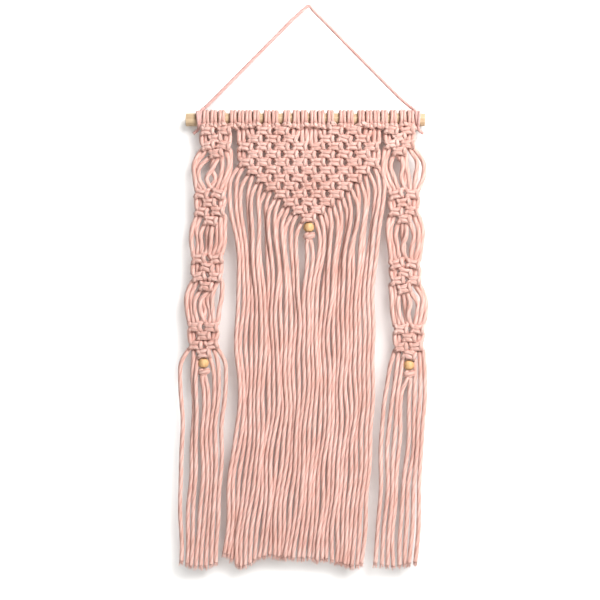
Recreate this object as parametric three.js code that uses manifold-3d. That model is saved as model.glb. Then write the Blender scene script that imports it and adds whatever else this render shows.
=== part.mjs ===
// A knotted cotton wall hanging on a wooden rod, modelled in millimetres.
// X runs to the right, Y towards the wall and Z up. The origin is the underside of the
// hanging cord's top bend, the spot that rests on a hook or nail.
import * as THREE from 'three';
import { mergeVertices } from 'three/addons/utils/BufferGeometryUtils.js';
import Module from 'manifold-3d';

const wasm = await Module();
wasm.setup();

// Driving dimensions
const ROD_RADIUS = 7.5;
const ROD_LEFT = -144.5;
const ROD_RIGHT = 136.5;
const ROD_Z = -132;
const CORD = 4.6;                        // soft cotton cord, slightly squeezed
const HANGING_CORD = 3.8;
const BEAD_RADIUS = 6.15;
const GAP = 0.4;                         // air between neighbouring pieces
const CLOTH_Y = -10;                     // the middle of the cloth hangs off the front of the rod

const LANE = 5.25;                       // one cord's share of the middle net's width
const HALF_KNOT = 2 * LANE;
const ROW = 9.2;                         // height of one row of square knots
const FIRST_ROW_Z = -146.4;
const KNOT_REACH = 8.6;                  // half width of one knot
// Rows of the middle net from the top down. Each number counts half knots from the middle
// to the last knot of the row, and the first two rows stop short of the middle.
const OUTER_KNOT = [5, 6, 7, 6, 7, 6, 5, 4, 3, 2, 1, 0];
const INNER_KNOT = [3, 2];

const SIDE_LANE = 4.7;
const SIDE_KNOT = 2 * SIDE_LANE;

const SLAB = { back: CLOTH_Y + 4.5, front: CLOTH_Y - 4.5 };
const PAD = { back: CLOTH_Y - 3.8, front: CLOTH_Y - 6.5 };
const STRAND = { back: CLOTH_Y + CORD / 2, front: CLOTH_Y - CORD / 2 };

const HITCH_WIDTH = 8.4;
const HITCH_INNER = 9.1;                 // corners of the six-sided hole round the rod
const HITCH_OUTER = 12.3;
const HITCH_BAR = { top: -4.5, bottom: -9, front: -15.8 };

// Hitch places along the rod; the middle panel is the same on both sides
const MIDDLE_HITCHES = [5.4, 14.6, 25.7, 39.6, 48.6, 61.6, 70.7, 79.4];
const HITCH_FIRST_ROW = [2, 1, 0, 0, 0, 0, 1, 2];

// Side panels: hitches, clusters of knots with their row height and, at one third and two
// thirds of each open stretch, how far the eight cords stand from the panel's middle line
const LEFT = {
  hitches: [-120.6, -111.6, -102.1, -88.6],
  clusters: [
    { x: -108.8, top: -142, row: 8.8 }, { x: -115, top: -215.5, row: 10 },
    { x: -118.8, top: -290.5, row: 10.2 }, { x: -123.2, top: -371, row: 10 },
  ],
  spreads: [
    [[-23.1, -20.1, -17.6, -2.9, -1.6, 9.3, 17.2, 19.4], [-20.6, -17.9, -15.4, 3.6, -6.7, 9, 15.4, 19.2]],
    [[-20.1, -15.4, -10.3, -2.9, 2.1, 8.8, 13.1, 17.9], [-19.9, -12.1, -8.2, -0.7, 2.7, 9.7, 14.5, 19]],
    [[-22.2, -17.1, -13.2, -3, -5.9, 1.4, 7.6, 18.7], [-20.8, -15.4, -11.4, 0.3, -4.7, 6.7, 8.9, 17]],
  ],
  bead: -417.6,
  fringe: { waistZ: -463, waistX: -123.3, waistLane: 6.65, tipX: -128.8, tipLane: 6 },
  tips: [-650, -652, -654, -655, -655, -655, -653, -651],
};
const RIGHT = {
  hitches: [88.6, 99.3, 110.4, 119.6],
  clusters: [
    { x: 106.1, top: -142, row: 8 }, { x: 111.4, top: -215.5, row: 9.8 },
    { x: 112.6, top: -297, row: 9.6 }, { x: 117.2, top: -373.5, row: 9.8 },
  ],
  spreads: [
    [[-20.8, -17.8, -12.4, 4.9, 2, 6.4, 18.7, 26], [-22, -16.9, -9.6, 3.5, -1.7, 7.3, 15.2, 24.6]],
    [[-19.5, -16.4, -10.2, -1.6, 1.9, 11.5, 16.4, 21.6], [-18, -13.5, -8.2, -0.8, -2.9, 8.5, 15.7, 19.4]],
    [[-17.1, -12.1, -9.7, -1.5, 4.2, 13.4, 18.8, 22.2], [-17.9, -12.5, -9.5, -1.7, 0.5, 10.8, 16, 21.3]],
  ],
  bead: -420,
  fringe: { waistZ: -463, waistX: 111.4, waistLane: 6.65, tipX: 101.3, tipLane: 6.6 },
  tips: [-652, -653, -654, -655, -654, -653, -652, -651],
};

// Middle fringe
const MIDDLE_BEAD_Z = FIRST_ROW_Z - 11 * ROW - ROW / 2 - GAP - BEAD_RADIUS;
const FRINGE_COUNT = 32;
const FRINGE_LEVELS = [                  // height, the fringe's middle line and one cord's share
  { z: -190, x: 0, lane: 5.25 }, { z: -344, x: -3.9, lane: 5.08 },
  { z: -470, x: -4.1, lane: 5.06 }, { z: -655, x: -20, lane: 5.28 },
];
const TOOTH = 4.3;
const CLUMP_SHIFT = 0.4;                 // cords lean together in threes
const SPINE = 24;                        // the cords touch for this far below the net
const FRINGE_TIPS = [
  -640, -642, -647, -653, -655, -654, -651, -648, -645, -643, -642, -643, -644, -645, -645, -644,
  -645, -646, -646, -645, -646, -648, -647, -647, -648, -650, -651, -652, -654, -655, -654, -652,
];

const BEAD_HOLE = 2.7;
const STOPPER = { width: 7, depth: 5.2, height: 3.8 };

// The two places where the hanging cord is tied on, and the route between them
const TIE_WIDTH = 6;
const TIE_INNER = ROD_RADIUS + 0.55;
const TIE_OUTER = 10.9;
const TIES = { left: -128.4, right: 127.4 };
const HANGING_ROUTE = [
  [-122.1, -117.9], [-113, -109], [-99, -94.9], [-83, -78.7], [-67, -62.6], [-51, -46.4],
  [-35, -30.3], [-19, -14.1], [-9, -5], [-4, -0.8], [0, 1.9], [3, -0.6], [6.6, -5.1],
  [16, -14.3], [32, -30.7], [48, -47.1], [64, -63.2], [80, -79.3], [96, -95.5], [110, -109],
  [120.6, -117.9],
];

const COTTON_PINK = 0xf0c6b8;
const CORD_PINK = 0xf2c9c2;
const ROD_WOOD = 0xdcc096;
const BEAD_WOOD = 0xdcb176;

function cotton(color) {
  return new THREE.MeshStandardMaterial({ color, roughness: 0.95, metalness: 0 });
}

function wood(color, roughness) {
  return new THREE.MeshStandardMaterial({ color, roughness, metalness: 0 });
}

// Boolean joins and cuts
function solidOf(geometry) {
  const bare = geometry.clone();
  bare.deleteAttribute('normal');
  bare.deleteAttribute('uv');
  const merged = mergeVertices(bare);
  const mesh = new wasm.Mesh({
    numProp: 3,
    vertProperties: new Float32Array(merged.attributes.position.array),
    triVerts: new Uint32Array(merged.index.array),
  });
  return new wasm.Manifold(mesh);
}

function geometryOf(solid) {
  const { vertProperties, triVerts } = solid.getMesh();
  const geometry = new THREE.BufferGeometry();
  geometry.setAttribute('position', new THREE.BufferAttribute(vertProperties, 3));
  geometry.setIndex(new THREE.BufferAttribute(triVerts, 1));
  geometry.computeVertexNormals();
  return geometry;
}

function join(solids) {
  return solids.reduce((whole, solid) => whole.add(solid));
}

// A flat piece: its outline is drawn in X and Z, and it is as thick in Y as the layer says
function plate(outline, layer, holes = []) {
  const shape = new THREE.Shape(outline.map(([x, z]) => new THREE.Vector2(x, z)));
  for (const hole of holes) {
    shape.holes.push(new THREE.Path(hole.map(([x, z]) => new THREE.Vector2(x, z))));
  }
  const depth = layer.back - layer.front;
  const geometry = new THREE.ExtrudeGeometry(shape, { depth, bevelEnabled: false });
  geometry.rotateX(Math.PI / 2);
  geometry.translate(0, layer.back, 0);
  return geometry;
}

function rectangle(x, z, width, height) {
  const w = width / 2;
  const h = height / 2;
  return [[x - w, z - h], [x + w, z - h], [x + w, z + h], [x - w, z + h]];
}

function diamond(x, z, width, height) {
  return [[x - width / 2, z], [x, z - height / 2], [x + width / 2, z], [x, z + height / 2]];
}

function knotPad(x, z, width, height) {
  return solidOf(plate(rectangle(x, z, width, height), PAD));
}

// A cord seen from the front as a ribbon one cord wide along the given points
function strand(points) {
  const half = CORD / 2;
  const left = points.map(([x, z]) => [x - half, z]);
  const right = points.map(([x, z]) => [x + half, z]).reverse();
  return solidOf(plate([...left, ...right], STRAND));
}

function corners(radius, sides) {
  return Array.from({ length: sides }, (_, index) => {
    const angle = ((index + 0.5) / sides) * 2 * Math.PI;
    return [-radius * Math.sin(angle), radius * Math.cos(angle)];
  });
}

// A band round the rod: its section is drawn in Y and Z from the rod's axis, with a hole
function rodBand(x, width, section, hole) {
  const shape = new THREE.Shape(section.map(([y, z]) => new THREE.Vector2(-z, y)));
  shape.holes.push(new THREE.Path(hole.map(([y, z]) => new THREE.Vector2(-z, y))));
  const geometry = new THREE.ExtrudeGeometry(shape, { depth: width, bevelEnabled: false });
  geometry.rotateY(Math.PI / 2);
  geometry.translate(x - width / 2, 0, ROD_Z);
  return geometry;
}

// A lark's head hitch: the doubled cord goes over the rod, a bar crosses its front, and its
// two cords drop to the first knots below. The loop is drawn in Y and Z round the rod.
function hitch(x, dropX, dropZ) {
  const half = HITCH_WIDTH / 2;
  const flat = 5;
  const low = -HITCH_OUTER - 1.5;
  const loop = [
    [STRAND.front, low], [STRAND.front, HITCH_BAR.bottom], [HITCH_BAR.front, HITCH_BAR.bottom],
    [HITCH_BAR.front, HITCH_BAR.top], [STRAND.front, HITCH_BAR.top], [STRAND.front, flat],
    [-flat, HITCH_OUTER], [flat, HITCH_OUTER], [HITCH_OUTER, flat], [HITCH_OUTER, -flat],
    [flat, -HITCH_OUTER], [STRAND.back, -HITCH_OUTER], [STRAND.back, low],
  ];
  const under = ROD_Z + low + 1;
  const drop = [
    [x - half, under], [dropX - CORD, dropZ], [dropX + CORD, dropZ], [x + half, under],
  ];
  return [
    solidOf(rodBand(x, HITCH_WIDTH, loop, corners(HITCH_INNER, 6))),
    solidOf(plate(drop, STRAND)),
  ];
}

// The middle net
const ROWS = OUTER_KNOT.length;

function rowZ(row) {
  return FIRST_ROW_Z - row * ROW;
}

function innerKnot(row) {
  return INNER_KNOT[row] ?? 0;
}

function hasKnot(row, place) {
  const inside = Math.abs(place) <= OUTER_KNOT[row] && Math.abs(place) >= innerKnot(row);
  return row >= 0 && row < ROWS && inside;
}

// Where a short row lies between two longer ones, the end cords run past it
function rowEdge(row) {
  const above = OUTER_KNOT[row - 1] ?? 0;
  const below = OUTER_KNOT[row + 1] ?? 0;
  return Math.max(OUTER_KNOT[row], Math.min(above, below)) * HALF_KNOT + KNOT_REACH;
}

function netOutline() {
  const side = [];
  for (let row = INNER_KNOT.length - 1; row >= 0; row -= 1) {
    const inner = INNER_KNOT[row] * HALF_KNOT - KNOT_REACH;
    side.push([inner, rowZ(row) - ROW / 2], [inner, rowZ(row) + ROW / 2]);
  }
  for (let row = 0; row < ROWS; row += 1) {
    side.push([rowEdge(row), rowZ(row) + ROW / 2], [rowEdge(row), rowZ(row) - ROW / 2]);
  }
  const corners = side.filter(([x, z], index) => {
    const next = side[index + 1];
    const last = side[index - 1];
    return !(next && last && x === next[0] && x === last[0] && z !== next[1]);
  });
  return [...corners, ...corners.map(([x, z]) => [-x, z]).reverse()];
}

function middlePanel() {
  const holes = [];
  const pads = [];
  for (let row = 0; row < ROWS; row += 1) {
    for (let place = -7; place <= 7; place += 1) {
      const isKnotPlace = (place + OUTER_KNOT[row]) % 2 === 0;
      if (isKnotPlace && hasKnot(row, place)) {
        pads.push(knotPad(place * HALF_KNOT, rowZ(row), 12.6, 7.8));
      }
      const closed = hasKnot(row - 1, place) && hasKnot(row + 1, place);
      const besideKnot = Math.abs(place) >= innerKnot(row);
      if (!isKnotPlace && closed && besideKnot) {
        holes.push(diamond(place * HALF_KNOT, rowZ(row), 4.4, 6));
      }
    }
  }
  const net = solidOf(plate(netOutline(), SLAB, holes));
  const hitches = MIDDLE_HITCHES.flatMap((x, index) => {
    const dropX = (index + 0.5) * HALF_KNOT;
    const dropZ = rowZ(HITCH_FIRST_ROW[index]);
    return [...hitch(x, dropX, dropZ), ...hitch(-x, -dropX, dropZ)];
  });
  return join([net, ...pads, ...hitches]);
}

// Side panels: four clusters of six knots, joined by eight open cords
const SIDE_HALF = 2 * SIDE_KNOT;

function cluster({ x, top, row }) {
  const shoulder = top - 3 * row;
  const bottom = top - 4 * row;
  const outline = [
    [x - SIDE_HALF, top], [x - SIDE_HALF, shoulder], [x - SIDE_KNOT, shoulder], [x - SIDE_KNOT, bottom],
    [x + SIDE_KNOT, bottom], [x + SIDE_KNOT, shoulder], [x + SIDE_HALF, shoulder], [x + SIDE_HALF, top],
  ];
  const secondRow = top - 1.5 * row;
  const thirdRow = top - 2.5 * row;
  const holes = [
    diamond(x - SIDE_KNOT, secondRow, 4.2, 5.6),
    diamond(x + SIDE_KNOT, secondRow, 4.2, 5.6),
    diamond(x, thirdRow, 4.2, 5.6),
  ];
  const knots = [[-1, 0.5], [1, 0.5], [0, 1.5], [-1, 2.5], [1, 2.5], [0, 3.5]];
  const pads = knots.map(([place, down]) => {
    return knotPad(x + place * SIDE_KNOT, top - down * row, 11.4, row - 1.6);
  });
  return [solidOf(plate(outline, SLAB, holes)), ...pads];
}

function laneX(centre, lane, index) {
  return centre + (index - 3.5) * lane;
}

function openCords(above, below, [upper, lower]) {
  const tuck = 2;
  return upper.map((_, index) => {
    const isOuter = index < 2 || index > 5;
    const start = above.top - (isOuter ? 3 : 4) * above.row;
    const drop = start - below.top;
    const middle = (share) => above.x + (below.x - above.x) * share;
    return strand([
      [laneX(above.x, SIDE_LANE, index), start + tuck],
      [middle(1 / 3) + upper[index], start - drop / 3],
      [middle(2 / 3) + lower[index], start - (drop * 2) / 3],
      [laneX(below.x, SIDE_LANE, index), below.top - tuck],
    ]);
  });
}

function sidePanel(panel) {
  const first = panel.clusters[0];
  const hitches = panel.hitches.flatMap((x, index) => {
    return hitch(x, first.x + (2 * index - 3) * SIDE_LANE, first.top - first.row);
  });
  const clusters = panel.clusters.flatMap(cluster);
  const cords = panel.spreads.flatMap((spread, index) => {
    return openCords(panel.clusters[index], panel.clusters[index + 1], spread);
  });
  return join([...clusters, ...hitches, ...cords]);
}

// A fringe is one comb: a spine under the knots, and teeth with their own places and tips.
// edge is the spine's upper outline from left to right; toothX gives a tooth's place.
function comb(edge, count, slitTop, waistZ, toothX, tipZ) {
  const half = TOOTH / 2;
  const side = (index, way, top) => [
    [toothX(index, top) + way * half, top],
    [toothX(index, waistZ) + way * half, waistZ],
    [toothX(index, tipZ(index)) + way * half, tipZ(index)],
  ];
  const outline = [...edge];
  for (let index = count - 1; index >= 0; index -= 1) {
    const isLast = index === count - 1;
    const isFirst = index === 0;
    const rightTop = slitTop(Math.min(index, count - 2));
    const leftTop = slitTop(Math.max(index - 1, 0));
    outline.push(...side(index, 1, rightTop).slice(isLast ? 1 : 0));
    outline.push(...side(index, -1, leftTop).reverse().slice(0, isFirst ? 2 : 3));
  }
  return plate(outline, STRAND);
}

// Where the middle fringe hangs at a height, between the two nearest levels
function fringeLevel(z) {
  const next = Math.max(1, FRINGE_LEVELS.findIndex((level) => level.z <= z));
  const [above, below] = [FRINGE_LEVELS[next - 1], FRINGE_LEVELS[next]];
  const share = Math.max(0, (above.z - z) / (above.z - below.z));
  return { x: above.x + (below.x - above.x) * share, lane: above.lane + (below.lane - above.lane) * share };
}

function middleFringe() {
  const clump = (index) => CLUMP_SHIFT * (1 - (index % 3));
  const toothX = (index, z) => {
    const { x, lane } = fringeLevel(z);
    return x + (index - (FRINGE_COUNT - 1) / 2) * lane + clump(index);
  };
  const left = [];
  const right = [];
  for (let row = 4; row < ROWS; row += 1) {
    const z = rowZ(row) - ROW / 2 - GAP;
    const outer = rowEdge(row) + (row === 4 ? 1.6 : GAP);
    const inner = row === ROWS - 1 ? BEAD_RADIUS + GAP : rowEdge(row + 1) + GAP;
    left.push([-outer, z], [-inner, z]);
    right.unshift([inner, z], [outer, z]);
  }
  const notchBottom = MIDDLE_BEAD_Z - BEAD_RADIUS - 2 * STOPPER.height - 2 * GAP;
  const notch = [[-STOPPER.width - GAP, notchBottom], [STOPPER.width + GAP, notchBottom]];
  left[left.length - 1][0] = -STOPPER.width - GAP;
  right[0][0] = STOPPER.width + GAP;
  const edgeZ = (x) => rowZ(4) - ROW / 2 - (rowEdge(4) - Math.abs(x)) * (ROW / HALF_KNOT);
  const slitTop = (index) => edgeZ((index + 1 - FRINGE_COUNT / 2) * LANE) - SPINE;
  const tipZ = (index) => FRINGE_TIPS[index];
  return comb([...left, ...notch, ...right], FRINGE_COUNT, slitTop, -470, toothX, tipZ);
}

function sideFringe(panel) {
  const { x, top, row } = panel.clusters[3];
  const shoulder = top - 3 * row - GAP;
  const bottom = top - 4 * row - GAP;
  const notchBottom = panel.bead - BEAD_RADIUS - 2 * STOPPER.height - 2 * GAP;
  const spineBottom = notchBottom - 8;
  const { waistZ, waistX, waistLane, tipX, tipLane } = panel.fringe;
  const outer = SIDE_HALF;
  const step = SIDE_KNOT + GAP;
  const notch = STOPPER.width + GAP;
  const edge = [
    [x - outer, shoulder], [x - step, shoulder], [x - step, bottom], [x - notch, bottom],
    [x - notch, notchBottom], [x + notch, notchBottom], [x + notch, bottom], [x + step, bottom],
    [x + step, shoulder], [x + outer, shoulder],
  ];
  const toothX = (index, z) => {
    if (z > waistZ) {
      const share = (z - waistZ) / (spineBottom - waistZ);
      const lane = waistLane + (SIDE_LANE + 0.2 - waistLane) * share;
      return laneX(waistX + (x - waistX) * share, lane, index);
    }
    const share = (waistZ - z) / (waistZ - panel.tips[index]);
    return laneX(waistX + (tipX - waistX) * share, waistLane + (tipLane - waistLane) * share, index);
  };
  return comb(edge, 8, () => spineBottom, waistZ, toothX, (index) => panel.tips[index]);
}

// Turned wooden pieces
function lathe(profile, segments) {
  const geometry = new THREE.LatheGeometry(profile.map(([r, h]) => new THREE.Vector2(r, h)), segments);
  geometry.rotateX(Math.PI / 2);
  return geometry;
}

function rod() {
  const half = (ROD_RIGHT - ROD_LEFT) / 2;
  const chamfer = 0.6;
  const profile = [
    [0, -half], [ROD_RADIUS - chamfer, -half], [ROD_RADIUS, chamfer - half],
    [ROD_RADIUS, half - chamfer], [ROD_RADIUS - chamfer, half], [0, half],
  ];
  const geometry = lathe(profile, 24);
  geometry.rotateY(Math.PI / 2);
  geometry.translate((ROD_LEFT + ROD_RIGHT) / 2, 0, ROD_Z);
  return geometry;
}

function bead(x, z) {
  const start = Math.asin(BEAD_HOLE / BEAD_RADIUS);
  const steps = 7;
  const profile = [];
  for (let step = 0; step <= steps; step += 1) {
    const angle = -Math.PI / 2 + start + ((Math.PI - 2 * start) * step) / steps;
    profile.push([BEAD_RADIUS * Math.cos(angle), BEAD_RADIUS * Math.sin(angle)]);
  }
  profile.push(profile[0]);
  const geometry = lathe(profile, 18);
  geometry.translate(x, CLOTH_Y, z);
  return geometry;
}

// The overhand knot under a bead, with the two cords that run up through the bead
function stopper(x, beadZ) {
  const stem = BEAD_HOLE - 0.35;
  const centre = -BEAD_RADIUS - GAP - STOPPER.height;
  const profile = [[0, centre - STOPPER.height]];
  for (let step = 1; step <= 5; step += 1) {
    const angle = -Math.PI / 2 + (step / 6.6) * Math.PI;
    profile.push([STOPPER.width * Math.cos(angle), centre + STOPPER.height * Math.sin(angle)]);
  }
  profile.push([stem, -BEAD_RADIUS], [stem, BEAD_RADIUS], [0, BEAD_RADIUS]);
  const geometry = lathe(profile, 10);
  geometry.scale(1, STOPPER.depth / STOPPER.width, 1);
  geometry.translate(x, CLOTH_Y, beadZ);
  return geometry;
}

// Cords
function tube(points, radius, sides, steps) {
  const curve = new THREE.CatmullRomCurve3(points.map(([x, y, z]) => new THREE.Vector3(x, y, z)));
  const section = new THREE.Shape();
  for (let side = 0; side < sides; side += 1) {
    const angle = (side / sides) * 2 * Math.PI;
    const corner = [radius * Math.cos(angle), radius * Math.sin(angle)];
    if (side === 0) {
      section.moveTo(...corner);
    } else {
      section.lineTo(...corner);
    }
  }
  return new THREE.ExtrudeGeometry(section, { steps, extrudePath: curve, bevelEnabled: false });
}

// Two tight turns round the rod, and the free end that sticks out below it
function tie(x, way) {
  const wraps = solidOf(rodBand(x, TIE_WIDTH, corners(TIE_OUTER, 14), corners(TIE_INNER, 14)));
  const low = ROD_Z - TIE_OUTER;
  const end = solidOf(tube([
    [x, 0, low + 1], [x + way * 1.8, -0.4, low - 1.4], [x + way * 4.4, -1, low - 3.6],
    [x + way * 7.4, -2, low - 6],
  ], 1.6, 6, 7));
  return wraps.add(end);
}

const group = new THREE.Group();

function addPiece(name, geometry, material) {
  const mesh = new THREE.Mesh(geometry, material);
  mesh.name = name;
  group.add(mesh);
}

addPiece('rod', rod(), wood(ROD_WOOD, 0.7));
const hangingPoints = HANGING_ROUTE.map(([x, z]) => [x, 0, z]);
addPiece('hanging_cord', tube(hangingPoints, HANGING_CORD / 2, 8, 38), cotton(CORD_PINK));
addPiece('tie_left', geometryOf(tie(TIES.left, -1)), cotton(CORD_PINK));
addPiece('tie_right', geometryOf(tie(TIES.right, 1)), cotton(CORD_PINK));

addPiece('panel_middle', geometryOf(middlePanel()), cotton(COTTON_PINK));
addPiece('fringe_middle', middleFringe(), cotton(COTTON_PINK));
addPiece('bead_middle', bead(0, MIDDLE_BEAD_Z), wood(BEAD_WOOD, 0.55));
addPiece('stopper_middle', stopper(0, MIDDLE_BEAD_Z), cotton(COTTON_PINK));

for (const [side, panel] of [['left', LEFT], ['right', RIGHT]]) {
  const { x } = panel.clusters[3];
  addPiece(`panel_${side}`, geometryOf(sidePanel(panel)), cotton(COTTON_PINK));
  addPiece(`fringe_${side}`, sideFringe(panel), cotton(COTTON_PINK));
  addPiece(`bead_${side}`, bead(x, panel.bead), wood(BEAD_WOOD, 0.55));
  addPiece(`stopper_${side}`, stopper(x, panel.bead), cotton(COTTON_PINK));
}

export default group;
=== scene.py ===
# %% [markdown]
# # A knotted cotton wall hanging
# Twenty-four soft cotton cords are doubled over a wooden rod and knotted into a pointed net
# between two narrow panels, and their free ends hang as a fringe. A thinner cord holds the rod up.
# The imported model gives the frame, so the first step loads it and keeps its box.

# %% Load the model
import math

import bpy
import numpy as np
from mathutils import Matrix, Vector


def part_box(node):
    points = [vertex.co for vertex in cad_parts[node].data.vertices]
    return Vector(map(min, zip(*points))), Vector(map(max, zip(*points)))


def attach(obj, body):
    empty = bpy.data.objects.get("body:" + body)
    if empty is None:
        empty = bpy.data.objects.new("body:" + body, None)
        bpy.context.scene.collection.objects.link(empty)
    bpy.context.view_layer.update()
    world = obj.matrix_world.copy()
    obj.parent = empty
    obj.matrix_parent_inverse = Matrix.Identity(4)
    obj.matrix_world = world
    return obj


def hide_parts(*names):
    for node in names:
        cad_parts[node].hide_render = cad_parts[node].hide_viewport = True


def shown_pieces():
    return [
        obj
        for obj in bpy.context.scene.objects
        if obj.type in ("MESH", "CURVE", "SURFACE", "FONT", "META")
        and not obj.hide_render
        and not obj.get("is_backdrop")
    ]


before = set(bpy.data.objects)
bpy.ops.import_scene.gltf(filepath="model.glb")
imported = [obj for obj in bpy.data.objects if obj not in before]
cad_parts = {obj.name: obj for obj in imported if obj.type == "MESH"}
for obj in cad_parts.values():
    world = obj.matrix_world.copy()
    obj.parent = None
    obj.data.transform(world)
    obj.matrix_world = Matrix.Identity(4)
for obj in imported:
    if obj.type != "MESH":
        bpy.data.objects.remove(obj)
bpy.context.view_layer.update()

MM = 0.001

# %% [markdown]
# ## Measures
# The rod and the beads are read from the model, and the places of the ties are given. The knots
# follow a few sizes of the cord's own: the room that one cord takes across a panel, and the height
# of one row of knots.
# All routes below are in millimetres, and they become metres only when a mesh is made.


# %% Measures from the model
def node_box(name):
    low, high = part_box(name)
    return np.array(low) / MM, np.array(high) / MM


def node_centre(name):
    low, high = node_box(name)
    return (low + high) / 2


rod_low, rod_high = node_box("rod")
ROD_RADIUS = (rod_high[2] - rod_low[2]) / 2
ROD_Z = (rod_high[2] + rod_low[2]) / 2
BEADS = {side: node_centre(f"bead_{side}") for side in ("middle", "left", "right")}
bead_low, bead_high = node_box("bead_middle")
# The turned bead is made a little fatter than its plain solid in the model
BEAD_BULGE = 1.05
BEAD_RADIUS = (bead_high[0] - bead_low[0]) / 2 * BEAD_BULGE
CLOTH_Y = BEADS["middle"][1]
print("rod radius", round(ROD_RADIUS, 2), "at z", round(ROD_Z, 1), "cloth at y", round(CLOTH_Y, 1))

# %% Measures of the cord and its knots
CORD_RADIUS = 2.65
LANE = 5.25
ROW = 9.2
FIRST_ROW_Z = -146.4
# Knots are counted in half knots from the middle of the net: the last one of each row, and
# the first one where a row stops short of the middle
OUTER_KNOT = [5, 6, 7, 6, 7, 6, 5, 4, 3, 2, 1, 0]
INNER_KNOT = [3, 2]
MIDDLE_HITCHES = [5.4, 14.6, 25.7, 39.6, 48.6, 61.6, 70.7, 79.4]
MIDDLE_COUNT = 32
SIDE_LANE = 4.7
SIDE_COUNT = 8

# %% Measures of the side panels
# clusters: the middle x, the top z and the height of a row of each cluster of knots
# spreads: for each open stretch, where the eight cords stand at one third and two thirds of it
# fringe: its middle line and one cord's share of its width, at the waist and at the tips
# bows, waist_shifts: how far each cord swings out at the shoulder and stands off at the waist
LEFT = {
    "hitches": [-120.6, -111.6, -102.1, -88.6],
    "clusters": [
        (-108.8, -142, 8.8), (-115, -215.5, 10), (-118.8, -290.5, 10.2), (-123.2, -371, 10),
    ],
    "spreads": [
        ([-23.1, -20.1, -17.6, -2.9, -1.6, 9.3, 17.2, 19.4],
         [-20.6, -17.9, -15.4, 3.6, -6.7, 9, 15.4, 19.2]),
        ([-20.1, -15.4, -10.3, -2.9, 2.1, 8.8, 13.1, 17.9],
         [-19.9, -12.1, -8.2, -0.7, 2.7, 9.7, 14.5, 19]),
        ([-22.2, -17.1, -13.2, -3, -5.9, 1.4, 7.6, 18.7],
         [-20.8, -15.4, -11.4, 0.3, -4.7, 6.7, 8.9, 17]),
    ],
    "fringe": {"waist_x": -123.3, "waist_lane": 6.65, "tip_x": -128.8, "tip_lane": 6},
    "bows": [-8, 1, -2, 0, 0, 3, 4, 8],
    "waist_shifts": [-1, 4.5, 2.5, 4.5, 3, 1.5, -0.5, -1],
    "tips": [-650, -652, -654, -655, -655, -655, -653, -651],
}
RIGHT = {
    "hitches": [88.6, 99.3, 110.4, 119.6],
    "clusters": [
        (106.1, -142, 8), (111.4, -215.5, 9.8), (112.6, -297, 9.6), (117.2, -373.5, 9.8),
    ],
    "spreads": [
        ([-20.8, -17.8, -12.4, 4.9, 2, 6.4, 18.7, 26],
         [-22, -16.9, -9.6, 3.5, -1.7, 7.3, 15.2, 24.6]),
        ([-19.5, -16.4, -10.2, -1.6, 1.9, 11.5, 16.4, 21.6],
         [-18, -13.5, -8.2, -0.8, -2.9, 8.5, 15.7, 19.4]),
        ([-17.1, -12.1, -9.7, -1.5, 4.2, 13.4, 18.8, 22.2],
         [-17.9, -12.5, -9.5, -1.7, 0.5, 10.8, 16, 21.3]),
    ],
    "fringe": {"waist_x": 111.4, "waist_lane": 6.65, "tip_x": 101.3, "tip_lane": 6.6},
    "bows": [-2, 0, 1, 0, 0, 1, 2, 1],
    "waist_shifts": [0, 1.5, 1, -1, 2.5, 2, 0.5, 0],
    "tips": [-652, -653, -654, -655, -654, -653, -652, -651],
}
SIDE_WAIST_Z = -463
SIDE_TIP_Z = -648
# The height of each of the middle fringe's tips
FRINGE_TIPS = [
    -640, -642, -647, -653, -655, -654, -651, -648, -645, -643, -642, -643, -644, -645, -645, -644,
    -645, -646, -646, -645, -646, -648, -647, -647, -648, -650, -651, -652, -654, -655, -654, -652,
]
# The middle fringe at four heights: its middle line and one cord's share of its width
FRINGE_HEIGHTS = [-655, -470, -344, -190]
FRINGE_MIDDLES = [-20, -4.1, -3.9, 0]
FRINGE_LANES = [5.28, 5.06, 5.08, 5.25]

# %% [markdown]
# ## Camera
# The hanging is flat and is seen straight on. A long lens from two metres away keeps its sides
# parallel, as the eye sees it from across a room. The camera's frame is a square 0.7 m wide.

# %% Camera
FRAME_WIDTH = 0.702
LENS = 100
SENSOR = 36
CAMERA_X = -0.0103
CAMERA_Z = -0.344

camera_data = bpy.data.cameras.new("camera")
camera_data.lens = LENS
camera_data.sensor_width = SENSOR
camera = bpy.data.objects.new("camera", camera_data)
bpy.context.scene.collection.objects.link(camera)
camera_distance = FRAME_WIDTH * LENS / SENSOR
camera.location = (CAMERA_X, CLOTH_Y * MM - camera_distance, CAMERA_Z)
camera.rotation_euler = (math.radians(90), 0, 0)
bpy.context.scene.camera = camera
print("camera at", [round(value, 3) for value in camera.location])

# %% [markdown]
# ## Helpers for cords
# Every cord here is the same thing: a soft bundle of three plies with a slow twist, laid along a
# route. It could be a bezier curve with a round bevel, but then the plies would be only painted
# on. So a helper makes the tube itself: it smooths the route, carries a pair of side directions
# along it without spinning, and sets a ring of points at each step. The ring has three low lobes
# and turns slowly, and that turn is the twist of the plies.


# %% Smooth a route and carry its side directions
STEPS_PER_SPAN = 10
# The side directions may start anywhere, as long as no cord sets off along this line
START_DIRECTION = (0.31, 0.94, 0.12)


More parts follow.
